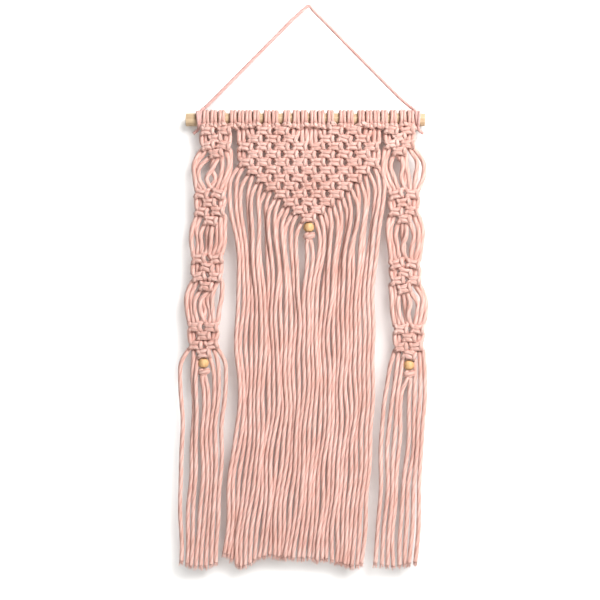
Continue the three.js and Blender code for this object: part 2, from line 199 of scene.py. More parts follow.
def smooth_path(points, spacing):
    points = np.array(points, float)
    spans = np.sqrt(np.linalg.norm(np.diff(points, axis=0), axis=1)) + 1e-6
    slopes = np.diff(points, axis=0) / spans[:, None]
    tangents = np.empty_like(points)
    tangents[0], tangents[-1] = slopes[0], slopes[-1]
    share = (spans[1:] / (spans[:-1] + spans[1:]))[:, None]
    tangents[1:-1] = slopes[:-1] * share + slopes[1:] * (1 - share)
    step = np.linspace(0, 1, STEPS_PER_SPAN, endpoint=False)[None, :, None]
    start, end = points[:-1, None], points[1:, None]
    leave = (tangents[:-1] * spans[:, None])[:, None]
    arrive = (tangents[1:] * spans[:, None])[:, None]
    dense = (
        (2 * step**3 - 3 * step**2 + 1) * start
        + (step**3 - 2 * step**2 + step) * leave
        + (3 * step**2 - 2 * step**3) * end
        + (step**3 - step**2) * arrive
    )
    dense = np.vstack([dense.reshape(-1, 3), points[-1]])
    along = np.concatenate([[0], np.cumsum(np.linalg.norm(np.diff(dense, axis=0), axis=1))])
    count = max(3, int(round(along[-1] / spacing)) + 1)
    places = np.linspace(0, along[-1], count)
    path = np.column_stack([np.interp(places, along, dense[:, axis]) for axis in range(3)])
    return path, places


def side_directions(path):
    heading = np.gradient(path, axis=0)
    heading /= np.linalg.norm(heading, axis=1)[:, None]
    side = np.cross(heading[0], START_DIRECTION)
    side /= math.sqrt(side @ side)
    sides = [side]
    for index in range(1, len(path)):
        side = side - heading[index] * (side @ heading[index])
        side = side / math.sqrt(side @ side)
        sides.append(side)
    sides = np.array(sides)
    return sides, np.cross(heading, sides)


# %% Lay a cord along a route
PLIES = 3
RING = 12
PLY_DEPTH = 0.04
TWIST_PITCH = 17


def lay_cord(points, spacing, radius, pitch=TWIST_PITCH, phase=0.0):
    """Gives a cord's rings of points and how far along it each ring is."""
    path, along = smooth_path(points, spacing)
    sides, ups = side_directions(path)
    radii = radius(path, along) if callable(radius) else np.full(len(path), float(radius))
    around = np.arange(RING) / RING * 2 * math.pi
    lobe = 1 - PLY_DEPTH * (1 - np.cos(PLIES * around))
    turn = around[None, :] + (along / pitch * 2 * math.pi / PLIES + phase)[:, None]
    reach = radii[:, None] * lobe[None, :]
    rings = (
        path[:, None, :]
        + (reach * np.cos(turn))[..., None] * sides[:, None, :]
        + (reach * np.sin(turn))[..., None] * ups[:, None, :]
    )
    return {"rings": rings, "along": along, "path": path}


def cut_cord(cord, index):
    """Cuts a cord in two at a ring, which both pieces keep."""
    upper = {key: value[: index + 1] for key, value in cord.items()}
    lower = {key: value[index:] for key, value in cord.items()}
    return upper, lower


# %% Make one mesh from many cords
def cord_mesh(name, cords):
    points, quads, caps, quad_uvs, cap_uvs = [], [], [], [], []
    first = 0
    column = np.arange(RING)
    following = (column + 1) % RING
    for cord in cords:
        rings, along = cord["rings"], cord["along"]
        count = len(rings)
        row = np.arange(count - 1)[:, None] * RING + first
        quads.append(np.stack([row + column, row + following, row + RING + following,
                               row + RING + column], axis=-1).reshape(-1, 4))
        left = np.broadcast_to(column / RING, (count - 1, RING))
        right = left + 1 / RING
        above = np.broadcast_to(along[:-1, None] * MM, left.shape)
        below = np.broadcast_to(along[1:, None] * MM, left.shape)
        corners = [(left, above), (right, above), (right, below), (left, below)]
        corner_uvs = [np.stack(pair, axis=-1) for pair in corners]
        quad_uvs.append(np.stack(corner_uvs, axis=2).reshape(-1, 2))
        for ring, turn in ((0, -1), (count - 1, 1)):
            centre = first + count * RING + (0 if ring == 0 else 1)
            rim = first + ring * RING
            order = (rim + column, rim + following)[::turn]
            caps.append(np.stack([*order, np.full(RING, centre)], axis=-1))
            cap_uvs.append(np.full((RING * 3, 2), (0.5 / PLIES, along[ring] * MM)))
        cap_centres = [rings[0].mean(axis=0), rings[-1].mean(axis=0)]
        points.append(np.vstack([rings.reshape(-1, 3), *cap_centres]))
        first += count * RING + 2
    return finish_mesh(name, np.vstack(points), [np.vstack(quads), np.vstack(caps)],
                       np.vstack([*quad_uvs, *cap_uvs]))


def finish_mesh(name, points, face_groups, uvs):
    mesh = bpy.data.meshes.new(name)
    corner_count = sum(group.size for group in face_groups)
    face_count = sum(len(group) for group in face_groups)
    mesh.vertices.add(len(points))
    mesh.vertices.foreach_set("co", (points * MM).ravel())
    mesh.loops.add(corner_count)
    mesh.loops.foreach_set("vertex_index", np.concatenate([group.ravel() for group in face_groups]))
    mesh.polygons.add(face_count)
    sizes = np.concatenate([np.full(len(group), group.shape[1]) for group in face_groups])
    mesh.polygons.foreach_set("loop_start", np.concatenate([[0], np.cumsum(sizes)[:-1]]))
    mesh.polygons.foreach_set("use_smooth", np.ones(face_count, bool))
    mesh.update(calc_edges=True)
    mesh.uv_layers.new(name="cord").data.foreach_set("uv", uvs.ravel())
    mesh.validate()
    piece = bpy.data.objects.new(name, mesh)
    bpy.context.scene.collection.objects.link(piece)
    return piece


# %% Give a finished piece its place in the model
def place(piece, material, slot, *nodes):
    piece.data.materials.clear()
    piece.data.materials.append(material)
    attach(piece, "root")
    if nodes:
        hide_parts(*nodes)
    triangles = sum(len(face.vertices) - 2 for face in piece.data.polygons)
    print(f"{piece.name}: {triangles} triangles")


# %% [markdown]
# ## Helpers for materials
# Cotton and wood each come in two tints, so what they share is a node group. The cotton group
# draws the fine yarns along the twist as thin lines of painted shade, paints shade into the grooves
# between the plies and breaks the colour up a little. The wood group draws long streaks and small
# pores. Both give out a colour and a normal, and the wood group also gives how rough each spot is.


# %% A small helper that adds and links nodes
def add_node(tree, kind, inputs=None, **settings):
    node = tree.nodes.new(kind)
    for key, value in settings.items():
        setattr(node, key, value)
    for key, value in (inputs or {}).items():
        if isinstance(value, bpy.types.NodeSocket):
            tree.links.new(value, node.inputs[key])
        else:
            node.inputs[key].default_value = value
    return node


def math_node(tree, operation, *values):
    return add_node(tree, "ShaderNodeMath", dict(enumerate(values)), operation=operation).outputs[0]


def mix_colour(tree, factor, first, second):
    sockets = {0: factor, 6: first, 7: second}
    return add_node(tree, "ShaderNodeMix", sockets, data_type="RGBA").outputs[2]


def noise(tree, vector, scale, detail, roughness, distortion=0.0):
    return add_node(tree, "ShaderNodeTexNoise", {
        "Vector": vector, "Scale": scale, "Detail": detail, "Roughness": roughness,
        "Distortion": distortion,
    }).outputs["Fac"]


def remap(tree, value, from_min=0.0, from_max=1.0, to_min=0.0, to_max=1.0):
    return add_node(tree, "ShaderNodeMapRange", {
        "Value": value, "From Min": from_min, "From Max": from_max,
        "To Min": to_min, "To Max": to_max,
    }).outputs["Result"]


def new_group(name, inputs, outputs):
    group = bpy.data.node_groups.new(name, "ShaderNodeTree")
    for label, kind, value in inputs:
        socket = group.interface.new_socket(label, in_out="INPUT", socket_type=kind)
        socket.default_value = value
    for label, kind in outputs:
        group.interface.new_socket(label, in_out="OUTPUT", socket_type=kind)
    return group, group.nodes.new("NodeGroupInput"), group.nodes.new("NodeGroupOutput")


# %% The cotton group
# Painted shade: how sharply the grooves between the plies are picked out, how much of the dark
# colour is painted into them, and how much into the thin lines between the yarns
GROOVE_SHARPNESS = 3.0
GROOVE_SHADE_SHARE = 0.3
YARN_SLANT = 900.0
YARN_SHADE_SHARE = 0.12
YARN_RELIEF = 0.35


def make_cotton_group():
    # The second colour is painted shade for the grooves between the plies and the lines between the
    # yarns
    group, given, result = new_group(
        "soft_cotton_plies",
        [("Colour", "NodeSocketColor", (0.9, 0.6, 0.5, 1)),
         ("Painted groove shade", "NodeSocketColor", (0.7, 0.3, 0.2, 1)),
         ("Yarns", "NodeSocketFloat", 15.0), ("Bump", "NodeSocketFloat", 0.4)],
        [("Colour", "NodeSocketColor"), ("Normal", "NodeSocketVector")],
    )
    uv = add_node(group, "ShaderNodeUVMap", uv_map="cord")
    split = add_node(group, "ShaderNodeSeparateXYZ", {0: uv.outputs["UV"]})
    around, along = split.outputs[0], split.outputs[1]
    ply = math_node(group, "COSINE", math_node(group, "MULTIPLY", around, PLIES * 2 * math.pi))
    dip = math_node(group, "MULTIPLY_ADD", ply, -0.5, 0.5)
    groove_shade = math_node(group, "POWER", dip, GROOVE_SHARPNESS)
    slant = math_node(group, "MULTIPLY", along, YARN_SLANT)
    yarn_count = math_node(group, "MULTIPLY", around, given.outputs["Yarns"])
    yarn_turn = math_node(group, "MULTIPLY", yarn_count, 2 * math.pi)
    yarns = math_node(group, "SINE", math_node(group, "ADD", yarn_turn, slant))
    spot = add_node(group, "ShaderNodeTexCoord")
    fluff = noise(group, spot.outputs["Object"], 900.0, 2.0, 0.7)
    patches = noise(group, spot.outputs["Object"], 45.0, 3.0, 0.6)
    tone = add_node(group, "ShaderNodeHueSaturation", {"Color": given.outputs["Colour"]})
    for label, low, high in (("Value", 0.93, 1.06), ("Saturation", 1.12, 0.88)):
        group.links.new(remap(group, patches, 0.3, 0.7, low, high), tone.inputs[label])
    # Painted shade: the grooves between the plies are mixed towards the dark colour
    shaded = mix_colour(group, math_node(group, "MULTIPLY", groove_shade, GROOVE_SHADE_SHARE),
                        tone.outputs["Color"], given.outputs["Painted groove shade"])
    # Painted shade: thin lines between the yarns are mixed towards the same dark colour
    stripes = math_node(group, "MULTIPLY_ADD", yarns, 0.5, 0.5)
    fine = math_node(group, "MULTIPLY", stripes, YARN_SHADE_SHARE)
    colour = mix_colour(group, fine, shaded, given.outputs["Painted groove shade"])
    ridges = math_node(group, "MULTIPLY", yarns, YARN_RELIEF)
    relief = math_node(group, "ADD", ridges, fluff)
    bump = add_node(group, "ShaderNodeBump", {"Strength": given.outputs["Bump"], "Distance": 0.0002,
                                              "Height": relief})
    group.links.new(colour, result.inputs["Colour"])
    group.links.new(bump.outputs["Normal"], result.inputs["Normal"])
    return group


# %% The wood group
PORE_SHARE = 0.35


def make_wood_group():
    group, given, result = new_group(
        "fine_wood_grain",
        [("Colour", "NodeSocketColor", (0.8, 0.6, 0.4, 1)),
         ("Dark grain", "NodeSocketColor", (0.5, 0.3, 0.15, 1)),
         ("Stretch", "NodeSocketVector", (20.0, 300.0, 300.0)), ("Grain", "NodeSocketFloat", 0.5)],
        [("Colour", "NodeSocketColor"), ("Normal", "NodeSocketVector"),
         ("Roughness", "NodeSocketFloat")],
    )
    spot = add_node(group, "ShaderNodeTexCoord")
    stretched = add_node(group, "ShaderNodeVectorMath",
                         {0: spot.outputs["Object"], 1: given.outputs["Stretch"]},
                         operation="MULTIPLY")
    streaks = noise(group, stretched.outputs[0], 1.0, 6.0, 0.65, distortion=0.4)
    pores = noise(group, stretched.outputs[0], 4.0, 2.0, 0.5)
    mask = remap(group, streaks, 0.4, 0.72)
    fleck = remap(group, pores, 0.58, 0.75)
    amount = math_node(group, "MULTIPLY", mask, given.outputs["Grain"])
    flecks = math_node(group, "MULTIPLY", fleck, PORE_SHARE)
    both = math_node(group, "MAXIMUM", amount, flecks)
    colour = mix_colour(group, both, given.outputs["Colour"], given.outputs["Dark grain"])
    bump = add_node(group, "ShaderNodeBump", {"Strength": 0.25, "Distance": 0.0001,
                                              "Height": streaks})
    rough = remap(group, streaks, to_min=0.5, to_max=0.68)
    group.links.new(colour, result.inputs["Colour"])
    group.links.new(bump.outputs["Normal"], result.inputs["Normal"])
    group.links.new(rough, result.inputs["Roughness"])
    return group


# %% The four finishes
def new_material(name, group, values, settings):
    material = bpy.data.materials.new(name)
    material.use_nodes = True
    tree = material.node_tree
    shader = tree.nodes["Principled BSDF"]
    surface = tree.nodes.new("ShaderNodeGroup")
    surface.node_tree = group
    for label, value in values.items():
        surface.inputs[label].default_value = value
    targets = {"Colour": "Base Color", "Normal": "Normal", "Roughness": "Roughness"}
    for label, target in targets.items():
        if label in surface.outputs:
            tree.links.new(surface.outputs[label], shader.inputs[target])
    for label, value in settings.items():
        shader.inputs[label].default_value = value
    return material


COTTON_FINISH = {"Roughness": 0.95, "Specular IOR Level": 0.2, "Sheen Weight": 0.35,
                 "Sheen Roughness": 0.45, "Sheen Tint": (1, 0.88, 0.84, 1)}
cotton_group = make_cotton_group()
wood_group = make_wood_group()
# In both cottons the second, darker colour is painted shade for the grooves between the plies and
# the lines between the yarns
cotton = new_material("pale_pink_cotton", cotton_group, {
    "Colour": (0.67, 0.5, 0.455, 1), "Painted groove shade": (0.44, 0.17, 0.13, 1), "Yarns": 15.0, "Bump": 0.35,
}, COTTON_FINISH)
thin_cotton = new_material("hanging_cord_cotton", cotton_group, {
    "Colour": (0.66, 0.47, 0.44, 1), "Painted groove shade": (0.48, 0.22, 0.2, 1), "Yarns": 9.0, "Bump": 0.5,
}, COTTON_FINISH)
rod_wood = new_material("pale_rod_wood", wood_group, {
    "Colour": (0.6, 0.49, 0.36, 1), "Dark grain": (0.36, 0.24, 0.14, 1),
    "Stretch": (12.0, 420.0, 420.0), "Grain": 0.55,
}, {"Specular IOR Level": 0.35})
bead_wood = new_material("light_bead_wood", wood_group, {
    "Colour": (0.68, 0.49, 0.29, 1), "Dark grain": (0.42, 0.25, 0.12, 1),
    "Stretch": (260.0, 260.0, 60.0), "Grain": 0.6,
}, {"Specular IOR Level": 0.5})
print("materials:", [material.name for material in bpy.data.materials])

# %% [markdown]
# ## The hanging cord and its ties
# The hanging cord comes first among the cords, because its real length counts. It is thinner than
# the others and it is pulled straight by the weight, with one sharp bend where the hook holds it.
# Each end takes two turns round the rod, crosses over them and ends in a short free tail.

# %% The hanging cord
HANGING_RADIUS = 1.9
HANGING_PITCH = 9
HANGING_ROUTE = [
    (-122.1, -117.9), (-113, -109), (-99, -94.9), (-83, -78.7), (-67, -62.6), (-51, -46.4),
    (-35, -30.3), (-19, -14.1), (-9, -5), (-4, -0.8), (0, 1.9), (3, -0.6), (6.6, -5.1),
    (16, -14.3), (32, -30.7), (48, -47.1), (64, -63.2), (80, -79.3), (96, -95.5), (110, -109),
    (120.6, -117.9),
]
hanging_points = [(x, 0, z) for x, z in HANGING_ROUTE]
span = lay_cord(hanging_points, 1.6, HANGING_RADIUS, pitch=HANGING_PITCH)
hanging_cord = cord_mesh("hanging_cord_span", [span])
place(hanging_cord, thin_cotton, "hanging_cord", "hanging_cord")


# %% The ties
# Drawn tight round the rod, the cord is a little thinner than in its free span
WRAP_RADIUS = 1.75
# The turns start high in front, go down under the rod and up behind it, and make a little over
# two rounds. They lie side by side, and the crossing end lies on top of them.
TURN_STEPS = 26
TURN_START = 68
TURN_SWEEP = 740
TURN_HALF_WIDTH = 1.7
CROSSING_LIFT = 1.9


def wrap_point(centre_x, across, angle, reach):
    """A point round the rod: the angle runs from the front over the top, in degrees."""
    turn = math.radians(angle)
    return (centre_x + across, -reach * math.cos(turn), ROD_Z + reach * math.sin(turn))


def tie_cords(centre_x, top, way):
    reach = ROD_RADIUS + WRAP_RADIUS + 0.1
    route = [top, (top[0] + way * 2.8, -2.2, top[2] - 2.1)]
    for step in range(TURN_STEPS + 1):
        angle = TURN_START - step / TURN_STEPS * TURN_SWEEP
        across = -TURN_HALF_WIDTH + 2 * TURN_HALF_WIDTH * step / TURN_STEPS
        route.append(wrap_point(centre_x, way * across, angle, reach))
    outer = reach + CROSSING_LIFT
    low = ROD_Z - outer
    cross = [
        wrap_point(centre_x, way * 2.4, 60, reach + 0.6),
        wrap_point(centre_x, way * 2, 25, outer),
        wrap_point(centre_x, way * 1.2, -15, outer + 0.3),
        wrap_point(centre_x, way * 0.6, -50, outer + 0.2),
        (centre_x + way * 1.6, -3.4, low - 0.8), (centre_x + way * 4.2, -2.6, low - 3),
        (centre_x + way * 7.2, -2.2, low - 5.4),
    ]
    return [lay_cord(points, 1.3, WRAP_RADIUS, pitch=HANGING_PITCH) for points in (route, cross)]


TIE_PLACES = {
    "tie_left": (-128.4, hanging_points[0], -1),
    "tie_right": (127.4, hanging_points[-1], 1),
}
for node, (centre_x, top, way) in TIE_PLACES.items():
    tie = cord_mesh(f"{node}_turns", tie_cords(centre_x, top, way))
    place(tie, thin_cotton, "hanging_cord", node)

# %% [markdown]
# ## The knots
# A lark's head folds a doubled cord over the rod: its middle is the short bar in front, and both
# halves go back under the rod, up behind it, over the top and down behind the bar. A square knot
# ties two outer cords round two straight inner ones. One outer cord makes both bars that show in
# front and turns at the left. The other passes twice behind and shows as one upright bump at the
# right. Each route below is measured from the middle of its knot.


# %% The lark's head
HITCH_STEPS = [
    # across the rod, angle from the front under the rod, distance from its middle
    (0, 28, 15.8), (2.4, 31, 15.6), (4.3, 41, 14.3), (4.8, 60, 12), (4.3, 90, 10.2),
    (3.7, 135, 10.0), (3.1, 180, 10.0), (2.6, 225, 9.9), (2.1, 270, 9.7), (1.9, 315, 9.6),
    (1.9, 345, 9.6), (2.0, 372, 9.6), (2.3, 398, 9.8),
]
BAR_HALF_WIDTH = 4
BAR_LAST_ANGLE = 50
# How far the bars sag and tilt at most, in degrees
SAG = 5
MIDDLE_TILT = 7
SIDE_TILT = 8


def hitch_route(hitch_x, side, sag, tilt):
    """One half of a doubled cord. Its bar sags and tilts by a few degrees, each hitch's its own."""
    route = []
    for across, angle, distance in HITCH_STEPS:
        lower = (sag + side * tilt * across / BAR_HALF_WIDTH) if angle < BAR_LAST_ANGLE else 0
        turn = math.radians(angle + lower)
        route.append((hitch_x + side * across, -distance * math.cos(turn),
                      ROD_Z - distance * math.sin(turn)))
    return route


# %% The square knot
RIGHT_WORKER = [
    (6.3, -1.6, 3.6), (3.6, -4.2, 2.5), (0, -4.9, 2.2), (-3.4, -4.2, 2.1), (-5.5, -2.4, 1.5),
    (-5.9, -1.8, 0), (-5.5, -2.4, -1.5), (-3.4, -4.2, -2.1), (0, -4.9, -2.2), (3.6, -4.2, -2.5),
    (6.3, -1.6, -3.6),
]
LEFT_WORKER = [
    (-6.9, -3.4, 3.3), (-5.0, -3.6, 1.6), (-3.4, 1.0, 1.0), (0, 4.2, 1.6), (4, 3.4, 2.2),
    (6.3, -1.0, 3.0), (6.2, -5.6, 2.0), (6.1, -6.4, 0), (6.2, -5.6, -2.0), (6.3, -1.0, -3.0),
    (4, 3.4, -2.2), (0, 4.2, -1.6), (-3.4, 1.0, -1.0), (-5.0, -3.6, -1.6), (-6.9, -3.4, -3.3),
]
# The lane and the row that both routes were measured with
KNOT_WIDTH = 5.25
KNOT_HEIGHT = 9.2


def knot_route(role, knot_x, knot_z, lane, row, slip):
    """The route of one of a square knot's four cords, counted from the left. slip shifts and
    tilts the knot a little, but not the places where its cords come in and go out."""
    wide, high = lane / KNOT_WIDTH, row / KNOT_HEIGHT
    shift_x, shift_z, tilt = slip
    lane_x = (role - 1.5) * lane
    route = [(lane_x, 0, row / 2)]
    for x, y, z in {0: LEFT_WORKER, 3: RIGHT_WORKER}.get(role, []):
        x, z = x * wide, z * high
        route.append((x - z * tilt + shift_x, y, z + x * tilt + shift_z))
    route.append((lane_x, 0, -row / 2))
    return [(knot_x + x, CLOTH_Y + y, knot_z + z) for x, y, z in route]


# %% [markdown]
# ## Routes through the net
# Every cord is followed from the rod to its tip. In each row of the net a cord is either one of a
# knot's four cords or runs straight past. A hand-tied net is never perfect, so each knot sits a
# few tenths of a millimetre off its place, and the seed of the random numbers is fixed.

# %% Knots of the middle net
random = np.random.default_rng(7)
inner_knots = INNER_KNOT + [0] * (len(OUTER_KNOT) - len(INNER_KNOT))
row_places = [
    [place for place in range(-outer, outer + 1, 2) if abs(place) >= inner]
    for inner, outer in zip(inner_knots, OUTER_KNOT)
]
# How far a knot shifts sideways and up, and how much it tilts
SLIP = np.array([0.3, 0.25, 0.09])
knots = {
    (row, place): random.normal(0, 1, 3) * SLIP
    for row, places in enumerate(row_places) for place in places
}
print("square knots in the middle net:", len(knots))


def role_at(strand, place, count):
    """Which of a knot's four cords a strand is, counted from the left, if it is one of them."""
    role = strand - (count // 2 - 2 + 2 * place)
    return role if 0 <= role < 4 else None


def role_in_row(strand, row):
    for place in row_places[row]:
        role = role_at(strand, place, MIDDLE_COUNT)
        if role is not None:
            return place, role
    return None


def middle_route(strand):
    hitches = sorted([*MIDDLE_HITCHES, *[-x for x in MIDDLE_HITCHES]])
    side = 1 if strand % 2 else -1
    hitch = strand // 2
    # The odd factors make no two bars alike
    route = hitch_route(hitches[hitch], side, SAG * math.sin(hitch * 2.3),
                        MIDDLE_TILT * math.cos(hitch * 4.1))
    lane_x = (strand - (MIDDLE_COUNT - 1) / 2) * LANE
    used = [row for row in range(len(OUTER_KNOT)) if role_in_row(strand, row)]
    for row in range(used[0], used[-1] + 1):
        found = role_in_row(strand, row)
        row_z = FIRST_ROW_Z - row * ROW
        if found is None:
            route.append((lane_x, CLOTH_Y, row_z))
            continue
        place, role = found
        points = knot_route(role, place * 2 * LANE, row_z, LANE, ROW, knots[(row, place)])
        follows_knot = row > used[0] and role_in_row(strand, row - 1)
        route.extend(points[1:] if follows_knot else points)
    return route


middle_routes = [middle_route(strand) for strand in range(MIDDLE_COUNT)]
route_points = sum(len(route) for route in middle_routes)
print("middle routes:", len(middle_routes), "with", route_points, "points")


# %% Knots of the side panels
CLUSTER_ROWS = [(-1, 1), (0,), (-1, 1), (0,)]
SIDE_MIDDLE = (SIDE_COUNT - 1) / 2
CROSSING_DEPTH = 2.2
OPEN_DEPTH = 0.9
# The side panels are tied less evenly than the net
SIDE_SLIP = 1.9


def cluster_route(strand, cluster, slips):
    centre_x, top, row = cluster
    lane_x = centre_x + (strand - SIDE_MIDDLE) * SIDE_LANE
    route = [(lane_x, CLOTH_Y, top)]
    for number, places in enumerate(CLUSTER_ROWS):
        for place in places:
            role = role_at(strand, place, SIDE_COUNT)
            if role is not None:
                points = knot_route(role, centre_x + place * 2 * SIDE_LANE,
                                    top - (number + 0.5) * row,
                                    SIDE_LANE, row, slips[number, (place + 1) // 2])
                route.extend(points[1:])
    return route


def open_route(strand, upper, lower, spread, start):
    """The free cord between two clusters: where two cords cross, one runs in front."""
    drop = start - lower[1]
    depth = (CROSSING_DEPTH if strand in (3, 4) else OPEN_DEPTH) * (1 if strand % 2 else -1)
    route = []
    for number, share in enumerate((1 / 3, 2 / 3)):
        x = upper[0] + (lower[0] - upper[0]) * share + spread[number][strand]
        route.append((x, CLOTH_Y + depth, start - drop * share))
    return route


def side_route(panel, strand, slips):
    side = 1 if strand % 2 else -1
    hitch = strand // 2
    route = hitch_route(panel["hitches"][hitch], side, SAG * math.cos(hitch * 1.7),
                        SIDE_TILT * math.sin(hitch * 2.9))
    clusters = panel["clusters"]
    for number, cluster in enumerate(clusters):
        route.extend(cluster_route(strand, cluster, slips[number]))
        if number < len(panel["spreads"]):
            route.extend(open_route(strand, cluster, clusters[number + 1], panel["spreads"][number],
                                    route[-1][2]))
    return route


side_routes = {}
for side, panel in (("left", LEFT), ("right", RIGHT)):
    # One slip for each cluster, row and knot
    slips = random.normal(0, SIDE_SLIP, (4, 4, 2, 3)) * SLIP
    side_routes[side] = [side_route(panel, strand, slips) for strand in range(SIDE_COUNT)]

# %% [markdown]
# ## How the fringe falls
# Each cord leaves its last knot sideways, bows outwards and then hangs. Neighbours lean on each
# other, cross and part again. A full simulation of forty-eight cords is slow and hard to steer,
# so the cords are followed downwards level by level: each has a place that it is drawn to, and
# where two come closer than a cord's width they push each other apart, also to the front or back.


# %% Let cords fall together
LEVEL = 5.0
TOUCH = 4.9
# A cord's drift grows over its first stretch; there it also follows its place more firmly
DRIFT_GROWS = 60
FIRM_DROP = 30
FIRM_PULL, LOOSE_PULL, DEPTH_PULL = 0.9, 0.5, 0.12
# Cords that touch give way a little sideways and more to the front or back, within limits
SIDEWAYS_SHARE = 0.55
DEPTH_LIMIT = 5.5
PUSH_ROUNDS = 5
NEIGHBOURS = 3


def wander(count, seed, reach):
    """A slow sideways drift for each cord. Neighbours drift nearly together: each wave moves
    on by a small angle from one cord to the next, and a weaker drift is each cord's own."""
    draw = np.random.default_rng(seed)
    strand = np.arange(count)
    lengths = draw.uniform(70, 190, 4)[:, None]
    turns = draw.uniform(0.3, 1.0, 4)[:, None] * np.array([1, -1, 1, -1])[:, None]
    phases = draw.uniform(0, 2 * math.pi, 4)[:, None] + turns * strand
    own_lengths = draw.uniform(60, 180, (2, count))
    own_phases = draw.uniform(0, 2 * math.pi, (2, count))

    def drift(z):
        shared = np.sin(z / lengths * 2 * math.pi + phases).sum(axis=0)
        own = np.sin(z / own_lengths * 2 * math.pi + own_phases).sum(axis=0)
        return reach * (shared + 0.5 * own)
    return drift


def fall(starts, target, tips, seed, reach):
    """starts holds each cord's last point. Gives each cord's points from there to its tip."""
    count = len(starts)
    drift = wander(count, seed, reach)
    draw = np.random.default_rng(seed + 1)
    place_xy = np.array([(x, y) for x, y, z in starts], float)
    place_xy[:, 1] += draw.uniform(-0.6, 0.6, count)
    start_z = np.array([z for x, y, z in starts])
    depth = CLOTH_Y + draw.uniform(-1.5, 1.5, count)
    routes = [[] for _ in range(count)]
    z = start_z.max() - LEVEL
    while z > min(tips) - LEVEL:
        active = (start_z - z > LEVEL * 0.8) & (z > np.array(tips) + LEVEL * 0.4)
        grown = np.clip((start_z - z) / DRIFT_GROWS, 0, 1)
        wish = target(z, start_z - z) + drift(z) * grown
        pull = np.where(start_z - z < FIRM_DROP, FIRM_PULL, LOOSE_PULL)
        place_xy[active, 0] += ((wish - place_xy[:, 0]) * pull)[active]
        place_xy[active, 1] += (depth - place_xy[:, 1])[active] * DEPTH_PULL
        push_apart(place_xy, active)
        for strand in np.flatnonzero(active):
            routes[strand].append((place_xy[strand, 0], place_xy[strand, 1], z))
        z -= LEVEL
    for strand, route in enumerate(routes):
        smoothed = soften(np.array([starts[strand], *route]))[1:]
        last, before = smoothed[-1], smoothed[-2]
        tip = last + (last - before) * (last[2] - tips[strand]) / LEVEL
        routes[strand] = [*map(tuple, smoothed), (tip[0], tip[1], tips[strand])]
    return routes


def soften(points):
    """Evens out a route's sideways steps, but keeps its first and last points."""
    for _ in range(3):
        points[1:-1, :2] = (points[:-2, :2] + 2 * points[1:-1, :2] + points[2:, :2]) / 4
    return points


def push_apart(places, active):
    order = [strand for strand in np.argsort(places[:, 0]) if active[strand]]
    for _ in range(PUSH_ROUNDS):
        for index, first in enumerate(order):
            for second in order[index + 1: index + 1 + NEIGHBOURS]:
                gap = places[second] - places[first]
                distance = math.hypot(*gap)
                if distance < TOUCH:
                    push = gap / max(distance, 0.01) * (TOUCH - distance) * 0.5
                    push[0] *= SIDEWAYS_SHARE
                    places[first] -= push
                    places[second] += push
        np.clip(places[:, 1], CLOTH_Y - DEPTH_LIMIT, CLOTH_Y + DEPTH_LIMIT, out=places[:, 1])


# %% The middle fringe
BEAD_STRANDS = {"middle": (15, 16), "left": (3, 4), "right": (3, 4)}
STOPPER_HEIGHT = 7.4
# A bow grows over the first stretch, stands for a while and then fades
BOW_GROWS, BOW_FADES_FROM = 12, 20
MIDDLE_FADE, SIDE_FADE = 52, 38
LEFT_BOWS = [11, 8.5, 8.6, 4, 7.5, 4, 9, 5, 8, 4.5, 8, 5, 8, 5, 5, -3]
RIGHT_BOWS = [5, 7, 6, 8, 4.5, 8, 5, 8, 4.5, 9, 4, 8, 4, 9, 6, 8]
MIDDLE_BOWS = np.array([*LEFT_BOWS, *RIGHT_BOWS])


def middle_target(z, dropped):
    strand = np.arange(MIDDLE_COUNT)
    lane = np.interp(z, FRINGE_HEIGHTS, FRINGE_LANES)
    middle = np.interp(z, FRINGE_HEIGHTS, FRINGE_MIDDLES)
    outwards = np.where(strand < MIDDLE_COUNT / 2, -1, 1)
    faded = np.clip(dropped - BOW_FADES_FROM, 0, None) / MIDDLE_FADE
    shape = np.clip(dropped / BOW_GROWS, 0, 1) * np.exp(-faded ** 2)
    return (strand - (MIDDLE_COUNT - 1) / 2) * lane + middle + outwards * MIDDLE_BOWS * shape


def fringe_starts(routes, side):
    """Where the fringe begins: at the last knots, but under the stopper for the bead's cords."""
    starts = [route[-1] for route in routes]
    x, y, z = BEADS[side]
    for strand, way in zip(BEAD_STRANDS[side], (-1, 1)):
        starts[strand] = (x + way * 2.2, y, z - BEAD_RADIUS - STOPPER_HEIGHT - 1)
    return starts


middle_starts = fringe_starts(middle_routes, "middle")
middle_falls = fall(middle_starts, middle_target, FRINGE_TIPS, 21, 0.85)


# %% The side fringes
WAIST_SHIFT_FADES = 0.6


def side_target(panel):
    fringe = panel["fringe"]
    centre_x, top, row = panel["clusters"][-1]
    shoulder = top - 3 * row
    strand = np.arange(SIDE_COUNT)

    def target(z, dropped):
        if z > SIDE_WAIST_Z:
            share = (shoulder - z) / (shoulder - SIDE_WAIST_Z)
            settled = share
            middle = centre_x + (fringe["waist_x"] - centre_x) * share
            lane = SIDE_LANE + (fringe["waist_lane"] - SIDE_LANE) * share
        else:
            share = (SIDE_WAIST_Z - z) / (SIDE_WAIST_Z - SIDE_TIP_Z)
            settled = 1 - WAIST_SHIFT_FADES * share
            middle = fringe["waist_x"] + (fringe["tip_x"] - fringe["waist_x"]) * share
            lane = fringe["waist_lane"] + (fringe["tip_lane"] - fringe["waist_lane"]) * share
        bow = np.array(panel["bows"]) * np.clip(dropped / BOW_GROWS, 0, 1)
        bow = bow * np.exp(-np.clip(dropped - BOW_FADES_FROM, 0, None) / SIDE_FADE)
        shifts = settled * np.array(panel["waist_shifts"])
        return middle + (strand - SIDE_MIDDLE) * lane + bow + shifts
    return target


